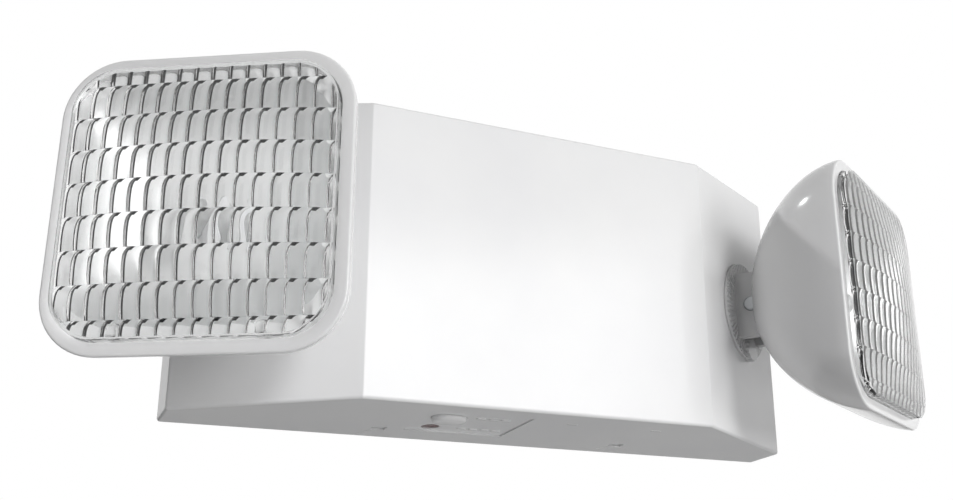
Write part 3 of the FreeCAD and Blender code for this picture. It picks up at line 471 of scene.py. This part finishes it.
# ---- Lamp heads ------------------------------------------------------------------------------------------
def dome_ring(depth, inset=0.0):
    """Outline of the head at a depth behind the rim, moved in by inset."""
    share = (1 - (depth / DOME_DEPTH) ** DOME_POWER) ** (1 / DOME_POWER)
    half = HEAD_HALF * share
    corner = min(half * (HEAD_CORNER / HEAD_HALF + DOME_CORNER_GAIN * (1 - share)), half)
    rise = -HEAD_DROP + DOME_RISE * depth / DOME_DEPTH
    corner = max(corner - inset, DOME_CORNER_LEAST)
    return rounded_ring(half - inset, HEAD_HALF_HEIGHT * share - inset, corner, HEAD_REACH - depth, rise,
                        HEAD_STEPS, HEAD_STEPS)


def opening_ring(step, depth):
    """Outline of the opening in the rim, moved in by step."""
    shrink = RIM_BAND + step
    return head_ring(HEAD_HALF - shrink, HEAD_HALF_HEIGHT - shrink, HEAD_CORNER - shrink, HEAD_REACH - depth)


def pivot_bar(radius, half):
    """A closed round bar along the tilt axis."""
    turns = [2 * math.pi * step / CUTTER_STEPS for step in range(CUTTER_STEPS)]
    bm = bmesh.new()
    skin_rings(bm, [[Vector((x, radius * math.cos(turn), PIVOT_OUT + radius * math.sin(turn)))
                     for turn in turns] for x in (-half, half)])
    return bm


def make_head(side):
    """Moulded dome with a flat rim, hollow for the reflector, with a pocket at its back for the swivel."""
    # Back to front: dome, rounded outer edge of the rim, flat rim; then inwards: lip, seat and hollow.
    turns = [index / DOME_STEPS * QUARTER_TURN for index in range(DOME_STEPS + 1)]
    rings = [dome_ring(DOME_CUT - (DOME_CUT - RIM_ROUNDING) * math.sin(turn)) for turn in turns]
    turns = [index / RIM_ROUNDING_STEPS * QUARTER_TURN for index in range(1, RIM_ROUNDING_STEPS + 1)]
    rings += [dome_ring(RIM_ROUNDING * (1 - math.sin(turn)), RIM_ROUNDING * (1 - math.cos(turn)))
              for turn in turns]
    rings.append(dome_ring(0.0, RIM_FLAT_START))
    seat = ((0.0, SEAT_DEPTH), (SEAT_WIDTH, SEAT_DEPTH), (SEAT_WIDTH, SEAT_DEPTH + SEAT_THICKNESS))
    rings += [opening_ring(step, depth) for step, depth in LIP_PROFILE + seat]
    rings += [dome_ring(depth, wall) for depth, wall in HOLLOW_PROFILE]
    bm = bmesh.new()
    skin_rings(bm, rings)
    matrix = seat_matrix(side)
    head = make_object(side + "_head_shell", bm, HEAD_ABS, matrix, MOULDED_EDGE)
    for cutter in (pivot_bar(POCKET_RADIUS, SLOT_HALF),
                   pivot_bar(PIN_RELIEF_RADIUS, SLOT_HALF + PIN_RELIEF_DEPTH)):
        cut_with(head, make_object("cutter", cutter, HEAD_ABS, matrix, FINE_EDGE))
    head.data.set_sharp_from_angle(angle=math.radians(MOULDED_EDGE))
    return head


def make_lug(side):
    """Centre lug in the pocket, with its eye round the tilt pin."""
    top = PIVOT_OUT + POCKET_RADIUS + LUG_OVERLAP
    outline = [(LUG_RADIUS, top), (-LUG_RADIUS, top)]
    outline += [(LUG_RADIUS * math.cos(turn), PIVOT_OUT + LUG_RADIUS * math.sin(turn))
                for turn in (math.pi + math.pi * step / LUG_STEPS for step in range(LUG_STEPS + 1))]
    bm = bmesh.new()
    skin_rings(bm, [[Vector((x, y, z)) for y, z in outline] for x in (-LUG_HALF, LUG_HALF)])
    return make_object(side + "_head_lug", bm, HEAD_ABS, seat_matrix(side), FINE_EDGE)


# ---- Lens ------------------------------------------------------------------------------------------------
def lens_outline(inset=0.0):
    """Half sizes and corner radius of the lens, moved in by inset."""
    shrink = RIM_BAND + LENS_CLEARANCE + inset
    return HEAD_HALF - shrink, HEAD_HALF_HEIGHT - shrink, HEAD_CORNER - shrink


def crown_height(x, y):
    """Height of the crowned outside over the lens's edge."""
    half_x, half_y, _ = lens_outline()
    return ((LENS_CROWN - LENS_PROUD) * max(0.0, 1 - (x / half_x) ** 2)
            * max(0.0, 1 - (y / half_y) ** 2))


def clip_to_outline(bm, half_x, half_y, radius):
    """Cuts a sheet to a rounded rectangle with one upright plane for each short side of its corners."""
    for side_x, side_y in ((1, 1), (-1, 1), (-1, -1), (1, -1)):
        middle = Vector((side_x * (half_x - radius), side_y * (half_y - radius) - HEAD_DROP, 0))
        for step in range(LENS_CORNER_STEPS + 1):
            turn = step / LENS_CORNER_STEPS * QUARTER_TURN
            normal = Vector((side_x * math.cos(turn), side_y * math.sin(turn), 0))
            geometry = bm.verts[:] + bm.edges[:] + bm.faces[:]
            bmesh.ops.bisect_plane(bm, geom=geometry, dist=1e-4, plane_co=middle + normal * radius,
                                   plane_no=normal, clear_outer=True)


def drop_walls(bm, level):
    """Carries the sheet's outline straight down to a level; these walls are plain."""
    edges = [edge for edge in bm.edges if edge.is_boundary]
    for item in bmesh.ops.extrude_edge_only(bm, edges=edges)["geom"]:
        if isinstance(item, bmesh.types.BMVert):
            item.co.z = level
        if isinstance(item, bmesh.types.BMFace):
            item.material_index = 0


def cell_lines(half, pitch):
    """Boundaries between cells that cover -half to half, one cell being centred on zero."""
    count = math.ceil(half / pitch + 0.5)
    return [(index + 0.5) * pitch for index in range(-count, count)]


def cell_lean(share_up):
    """How far a cell's upright edges lean to the right: a slow bow, and a hook at the top."""
    return (HOOK_LEAN * math.exp((share_up - 1) / HOOK_LENGTH)
            + BOW_LEAN * (share_up - BOW_MIDDLE) ** 2 + FOOT_LEAN)


def painted_shade_share(side, x, y, share_up):
    """Breadth of the painted shade at a cell's left edge, where its faces are painted near-black; in the
    left lens it thins out to the lower right.
    """
    half_x, half_y, _ = lens_outline()
    left_breadth = LEFT_BREADTH + LEFT_BREADTH_ACROSS * x / half_x + LEFT_BREADTH_UPWARD * y / half_y
    breadth = RIGHT_BREADTH if side == "right" else max(0.0, min(1.0, left_breadth))
    return max(HOOK_SHADE if share_up > HOOK_START else 0.0, GROOVE_SHADE * breadth)


def cell_sheet(bm, side):
    """Inside of the lens: rows of tall pillow cells, parted by fine grooves whose faces are painted
    near-black as shade.
    """
    half_x, half_y, _ = lens_outline(LENS_WALL)
    xs = cell_lines(half_x, CELL_WIDTH)
    ys = cell_lines(half_y, CELL_HEIGHT)
    columns = [(x, share) for x in xs[:-1] for share in ACROSS] + [(xs[-1], 0.0)]
    levels = [(y, share_up) for y in ys[:-1] for share_up in UPWARD]
    rows = []
    for y, share_up in levels:
        end_fade = 1 - CELL_END_FADE + CELL_END_FADE * (1 - (2 * share_up - 1) ** 4)
        row = []
        for x, share in columns:
            place_x = x + (share + cell_lean(share_up)) * CELL_WIDTH
            place_y = y + share_up * CELL_HEIGHT
            height = HEAD_REACH + LENS_PROUD - LENS_WALL + crown_height(place_x, place_y)
            bulge = CELL_BULGE * math.sin(math.pi * share) ** CELL_SQUARENESS * end_fade
            relief = CELL_FLOOR + bulge + CELL_TILT * (1 - share_up)
            row.append(Vector((place_x, place_y - HEAD_DROP, height - relief)))
        rows.append(row)

    # Slot 1 paints a face near-black as shade where it lies in a groove's painted strip.
    def slot(row, column):
        x, share = columns[column]
        return int(share + GROOVE_MARGIN < painted_shade_share(side, x, *levels[row]))

    sheet_from_rows(bm, rows, slot)


def make_lens(side):
    """Clear cover: a smooth crown outside, pillow cells inside, a standing wall and two snap tabs."""
    half_x, half_y, radius = lens_outline()
    seat = HEAD_REACH - SEAT_DEPTH + DISH_THICKNESS
    shares = [2 * step / LENS_STEPS - 1 for step in range(LENS_STEPS + 1)]
    xs = [share * (half_x + LENS_OVERSHOOT) for share in shares]
    ys = [share * (half_y + LENS_OVERSHOOT) for share in shares]
    bm = bmesh.new()
    sheet_from_rows(bm, [[Vector((x, y - HEAD_DROP, HEAD_REACH + LENS_PROUD + crown_height(x, y)))
                          for x in xs] for y in ys])
    clip_to_outline(bm, half_x, half_y, radius)
    drop_walls(bm, seat)
    inner = bmesh.new()
    cell_sheet(inner, side)
    clip_to_outline(inner, *lens_outline(LENS_WALL))
    drop_walls(inner, seat)
    bmesh.ops.reverse_faces(inner, faces=inner.faces)
    add_mesh(bm, inner)
    bmesh.ops.bridge_loops(bm, edges=[edge for edge in bm.edges if edge.is_boundary])
    low = LENS_WALL + TAB_GAP - half_y - HEAD_DROP
    for x in (-TAB_X, TAB_X):
        add_mesh(bm, bevelled_block((x, low + TAB_HEIGHT / 2, seat + TAB_LENGTH / 2),
                                    (TAB_BREADTH, TAB_HEIGHT, TAB_LENGTH), TAB_BEVEL))
    lens = make_object(side + "_lens_cover", bm, CLEAR_PC, seat_matrix(side), LENS_EDGE)
    # Second slot: the groove faces, painted near-black as shade.
    lens.data.materials.append(PAINTED_SHADE_PC)
    # Clear plastic lets the lamps through to the rim and the dish, so it throws no shadow.
    lens.visible_shadow = False
    return lens


# ---- Reflector and lamp ----------------------------------------------------------------------------------
def dish_ring(share, inset, lift):
    """Outline of the dish from its floor (share 0) to its mouth (share 1)."""
    half = DISH_FLOOR_HALF + (DISH_MOUTH_HALF - DISH_FLOOR_HALF) * share - inset
    roundness = DISH_FLOOR_ROUNDNESS + (DISH_MOUTH_ROUNDNESS - DISH_FLOOR_ROUNDNESS) * share
    height = DISH_FLOOR + (HEAD_REACH - SEAT_DEPTH - DISH_FLOOR) * share ** 2
    return head_ring(half, half * HEAD_HALF_HEIGHT / HEAD_HALF, half * roundness, height + lift)


def make_reflector(side):
    """Bright dish with a flat flange under the lens and a round throat for the lamp."""
    seat = HEAD_REACH - SEAT_DEPTH
    rings = [head_ring(*lens_outline(), seat + lift)
             for lift in (DISH_CLEARANCE, DISH_THICKNESS - DISH_CLEARANCE)]
    rings += [dish_ring(1 - index / DISH_STEPS, DISH_THICKNESS, DISH_THICKNESS)
              for index in range(DISH_STEPS + 1)]
    throat = LAMP_HOLE_RADIUS + THROAT_CLEARANCE
    rings += [head_ring(throat, throat, throat - THROAT_CLEARANCE / 2, DISH_FLOOR + lift)
              for lift in (DISH_THICKNESS, DISH_CLEARANCE)]
    rings += [dish_ring(index / DISH_BACK_STEPS, 0.0, DISH_CLEARANCE)
              for index in range(DISH_BACK_STEPS + 1)]
    rings.append(rings[0])
    bm = bmesh.new()
    skin_rings(bm, rings, closed=False)
    bmesh.ops.remove_doubles(bm, verts=bm.verts, dist=1e-5)
    return make_object(side + "_reflector_dish", bm, METALLISED, seat_matrix(side), FINE_EDGE)


def make_bulb(side):
    """Sealed bulb with a rounded tip."""
    radius = LAMP_RADIUS - LAMP_CLEARANCE
    shoulder = LAMP_BASE + LAMP_LENGTH - LAMP_RADIUS
    profile = [(radius, LAMP_BASE), (radius, shoulder)]
    profile += [(radius * math.cos(turn), shoulder + radius * math.sin(turn))
                for turn in (QUARTER_TURN * step / LAMP_TIP_STEPS for step in range(1, LAMP_TIP_STEPS))]
    profile.append((LAMP_NIPPLE_RADIUS, shoulder + radius))
    turns = [2 * math.pi * step / LAMP_STEPS for step in range(LAMP_STEPS)]
    bm = bmesh.new()
    skin_rings(bm, [[Vector((ring * math.cos(turn), ring * math.sin(turn) - HEAD_DROP, z))
                     for turn in turns] for ring, z in profile])
    return make_object(side + "_lamp_bulb", bm, LAMP_GLASS, seat_matrix(side), FINE_EDGE)


# ---- Raised bars and test button under the housing -------------------------------------------------------
def panel_matrix(x, y):
    """Frame on the recessed panel: x along the wall, z straight out of the sloping underside."""
    out = Vector((0, -DRAFT, -1)).normalized()
    along = Vector((1, 0, 0))
    place = Vector((x * MM, y * MM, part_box("housing")[0][2] - DRAFT * y * MM)) - out * PANEL_RECESS * MM
    return matrix_from(along, out.cross(along), out, place)


def make_bar(name, x, y, length):
    """Low moulded bar with a rounded top edge."""
    half_x, half_y = length / 2, BAR_BREADTH / 2
    levels = [(0.0, -BAR_SUNK)] + [(inset, BAR_HEIGHT - depth) for inset, depth in BAR_EDGE]
    bm = bmesh.new()
    skin_rings(bm, [rounded_ring(half_x - inset, half_y - inset, half_y - inset - BAR_END_FLAT, z, 0,
                                 *BAR_STEPS) for inset, z in levels])
    return make_object(name, bm, WHITE_ABS, panel_matrix(x, y), MOULDED_EDGE)


def make_button():
    """Test button: a low crowned cap that follows the underside, with its flange and stem in the housing."""
    low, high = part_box("test_button")
    level = low[2] / MM + CAD_BUTTON_PROUD
    half_x, half_y = BUTTON_LENGTH / 2, BUTTON_BREADTH / 2
    flange_back = -WALL_DEPTH - BUTTON_FLANGE_THICKNESS
    # From the stem's end to the crown: half sizes, and how far out of the underside.
    plan = [(STEM_RADIUS, STEM_RADIUS, level - high[2] / MM), (STEM_RADIUS, STEM_RADIUS, flange_back)]
    plan += [(half_x + BUTTON_FLANGE, half_y + BUTTON_FLANGE, out) for out in (flange_back, -WALL_DEPTH)]
    plan += [(half_x, half_y, out) for out in (-WALL_DEPTH, 0.0)]
    for step in range(1, BUTTON_ROUNDING_STEPS + 1):
        turn = step / BUTTON_ROUNDING_STEPS * QUARTER_TURN
        inset = BUTTON_ROUNDING * (1 - math.cos(turn))
        plan.append((half_x - inset, half_y - inset, (1 - BUTTON_CROWN) * BUTTON_PROUD * math.sin(turn)))
    for step in BUTTON_CROWN_INSETS:
        inset = BUTTON_ROUNDING + step
        fall = BUTTON_CROWN * (1 - step / BUTTON_CROWN_INSETS[-1]) ** 2
        plan.append((half_x - inset, half_y - inset, BUTTON_PROUD * (1 - fall)))
    rings = []
    for ring_x, ring_y, out in plan:
        slope = DRAFT if out > -WALL_DEPTH else 0.0
        ring = rounded_ring(ring_x, ring_y, min(ring_x, ring_y) - BUTTON_END_FLAT, 0, 0, *BUTTON_STEPS)
        rings.append([Vector((point.x, point.y, -out - slope * point.y)) for point in ring])
    bm = bmesh.new()
    skin_rings(bm, rings)
    place = Matrix.Translation(Vector((*BUTTON_CENTRE, level)) * MM)
    return make_object("test_button_cap", bm, WHITE_ABS, place, MOULDED_EDGE)


# ---- Pieces on their bodies ------------------------------------------------------------------------------
for side, body in BODIES.items():
    for piece, node, slot in ((make_head(side), "lamp_head", "head_abs"),
                              (make_lug(side), "lamp_head", "head_abs"),
                              (make_lens(side), "lens", "lens_clear"),
                              (make_reflector(side), "reflector", "reflector_chrome"),
                              (make_bulb(side), "lamp", "lamp_glass")):
        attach(piece, body)
        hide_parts(side + "_" + node)

button = make_button()
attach(button, "test_button")
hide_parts("test_button")
for row, (y, start, end, count) in enumerate(BAR_ROWS):
    pitch = (end - start + BAR_GAP) / count
    for index in range(count):
        middle = start + (index + 0.5) * pitch - BAR_GAP / 2
        bar = make_bar(f"panel_bar_{row}_{index}", middle, y, pitch - BAR_GAP)
        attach(bar, "root")

NODE_FINISH = {
    "housing": WHITE_ABS, "back_plate": WHITE_ABS, "charge_indicator": RED_PIPE,
    "circuit_board": BOARD_MASK, "test_switch": DARK_ABS, "board_screws": ZINC, "battery_pack": BATTERY_ABS,
    "battery_strap_left": ZINC, "battery_strap_right": ZINC, "transformer_core": LAMINATION,
    "transformer_coil": TAPE,
}
for side in BODIES:
    NODE_FINISH.update({side + "_swivel_collar": SWIVEL_ABS, side + "_swivel_nut": SWIVEL_ABS,
                        side + "_tilt_pin": ZINC, side + "_lamp_holder": HOLDER})
for name, finish in NODE_FINISH.items():
    node = frame["nodes"][name]
    node.data.materials.clear()
    node.data.materials.append(finish)


# ---- Studio ----------------------------------------------------------------------------------------------
def stage_sheet(name, corners, material):
    """Flat sheet of the studio, not part of the object."""
    bm = bmesh.new()
    bm.faces.new([bm.verts.new(corner) for corner in corners])
    sheet = link_object(name, bm, material)
    return sheet


def studio_paper():
    """Matt uncoated paper: a soft grey under the lamps, and plain white where a lens shows it."""
    material, tree = new_material("studio paper")
    paper = add_node(tree, "ShaderNodeBsdfPrincipled", Base_Color=colour("#F2F2F2"), Roughness=0.9)
    path = add_node(tree, "ShaderNodeLightPath")
    white = add_node(tree, "ShaderNodeEmission", Color=(1, 1, 1, 1), Strength=1.0)
    mix = add_node(tree, "ShaderNodeMixShader", links={0: path.outputs["Is Transmission Ray"],
                                                       1: paper.outputs[0], 2: white.outputs[0]})
    add_node(tree, "ShaderNodeOutputMaterial", links={"Surface": mix.outputs[0]})
    return material


def black_card():
    """Matt dyed card: nearly black, without a shine."""
    material, tree = new_material("black card")
    shader = add_node(tree, "ShaderNodeBsdfPrincipled", Base_Color=colour("#202122"), Roughness=0.9)
    add_node(tree, "ShaderNodeOutputMaterial", links={"Surface": shader.outputs["BSDF"]})
    return material


def make_cards():
    """Dark cards that only the lenses show: each darkens what a dish mirrors on one side."""
    material = black_card()
    for name, corners in CARDS.items():
        card = stage_sheet(name, corners, material)
        for kind in ("camera", "diffuse", "glossy", "shadow", "volume_scatter"):
            setattr(card, "visible_" + kind, False)


def make_world():
    """White to the camera, in reflections and through the lens; only a dim grey in the light it gives."""
    world = bpy.data.worlds.new("studio")
    bpy.context.scene.world = world
    world.use_nodes = True
    tree = world.node_tree
    tree.nodes.clear()
    path = add_node(tree, "ShaderNodeLightPath")
    seen = path.outputs["Is Camera Ray"]
    for kind in ("Is Glossy Ray", "Is Transmission Ray"):
        either = add_node(tree, "ShaderNodeMath", {"operation": "MAXIMUM"}, {0: seen, 1: path.outputs[kind]})
        seen = either.outputs[0]
    plain = add_node(tree, "ShaderNodeBackground", Color=(1, 1, 1, 1), Strength=WORLD_FILL)
    white = add_node(tree, "ShaderNodeBackground", Color=(1, 1, 1, 1), Strength=1.0)
    mix = add_node(tree, "ShaderNodeMixShader", links={0: seen, 1: plain.outputs[0], 2: white.outputs[0]})
    add_node(tree, "ShaderNodeOutputWorld", links={"Surface": mix.outputs[0]})


def place_lamp(name, data, position, target):
    """Puts a studio lamp at a place and turns it to its target."""
    lamp = bpy.data.objects.new(name, data)
    bpy.context.scene.collection.objects.link(lamp)
    lamp.location = position
    lamp.rotation_mode = "QUATERNION"
    lamp.rotation_quaternion = (Vector(target) - Vector(position)).to_track_quat("-Z", "Y")
    return lamp


def light_studio():
    """Three square lamps, and a narrow one behind that lights the top of the right dome."""
    for name, (position, size, power, hidden_from) in SOFT_LAMPS.items():
        data = bpy.data.lights.new(name, "AREA")
        data.shape = "SQUARE"
        data.size = size
        data.energy = power
        lamp = place_lamp(name, data, position, (0, 0, 0))
        for kind in hidden_from:
            setattr(lamp, "visible_" + kind, False)
    data = bpy.data.lights.new("edge_behind_left", "SPOT")
    data.spot_size = EDGE_LAMP_CONE
    data.spot_blend = EDGE_LAMP_BLEND
    data.shadow_soft_size = EDGE_LAMP_RADIUS
    data.energy = EDGE_LAMP_POWER
    place_lamp("edge_behind_left", data, EDGE_LAMP_PLACE, EDGE_LAMP_TARGET)


def make_camera():
    """Low and to the left of the light, looking up at its underside."""
    level = math.cos(CAMERA_ELEVATION)
    back = Vector((math.sin(CAMERA_AZIMUTH) * level, -math.cos(CAMERA_AZIMUTH) * level,
                   math.sin(CAMERA_ELEVATION)))
    right = (-back).cross(Vector((0, 0, 1))).normalized()
    up = right.cross(-back)
    rolled_right = math.cos(CAMERA_ROLL) * right + math.sin(CAMERA_ROLL) * up
    rolled_up = math.cos(CAMERA_ROLL) * up - math.sin(CAMERA_ROLL) * right
    data = bpy.data.cameras.new("camera")
    data.lens = CAMERA_LENS
    data.sensor_width = CAMERA_SENSOR
    camera = bpy.data.objects.new("camera", data)
    bpy.context.scene.collection.objects.link(camera)
    camera.matrix_world = matrix_from(rolled_right, rolled_up, back, Vector(CAMERA_PLACE) * MM)
    bpy.context.scene.camera = camera


stage_sheet("studio_floor", [(x * FLOOR_HALF, y * FLOOR_HALF, FLOOR_LEVEL)
                             for x, y in ((-1, -1), (1, -1), (1, 1), (-1, 1))], studio_paper())
make_cards()
make_world()
light_studio()
make_camera()
bpy.context.scene.view_settings.view_transform = "Standard"
